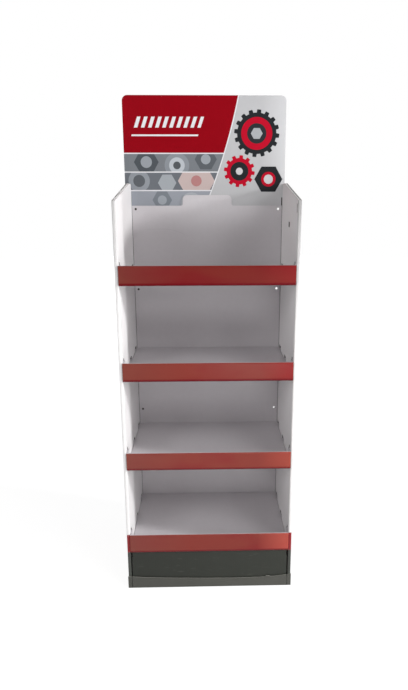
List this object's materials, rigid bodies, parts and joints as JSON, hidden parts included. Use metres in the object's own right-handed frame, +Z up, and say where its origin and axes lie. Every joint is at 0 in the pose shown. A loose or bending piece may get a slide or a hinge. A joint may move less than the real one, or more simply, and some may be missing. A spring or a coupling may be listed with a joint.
{
  "type": "cardboard display stand",
  "caption": "Free-standing folded card shop display with tray shelves, front lips, hollow side walls and a header card.",
  "frame": {"origin": "middle of the footprint at floor level", "axes": "+Z up, -Y towards the shopper, +X to the shopper's right"},
  "size_m": [0.6083, 0.4042, 1.764],
  "materials": {
    "shell_board": "white-lined corrugated board, dark print at the foot",
    "liner_board": "white-lined corrugated board",
    "header_board": "printed and laminated white-lined board",
    "shelf_board": "white-lined corrugated board, red laminated lip",
    "plinth_board": "dark grey print on corrugated board",
    "tray_board": "grey print on thin corrugated board",
    "kraft_board": "unprinted brown corrugated board"
  },
  "bodies": {
    "root": {"outer_shell": "shell_board", "back_liner": "liner_board", "header_card": "header_board", "shelf_bottom": "shelf_board", "shelf_lower": "shelf_board", "shelf_upper": "shelf_board", "shelf_top": "shelf_board", "plinth_front": "plinth_board", "base_tray": "tray_board", "base_support": "kraft_board"}
  },
  "joints": []
}
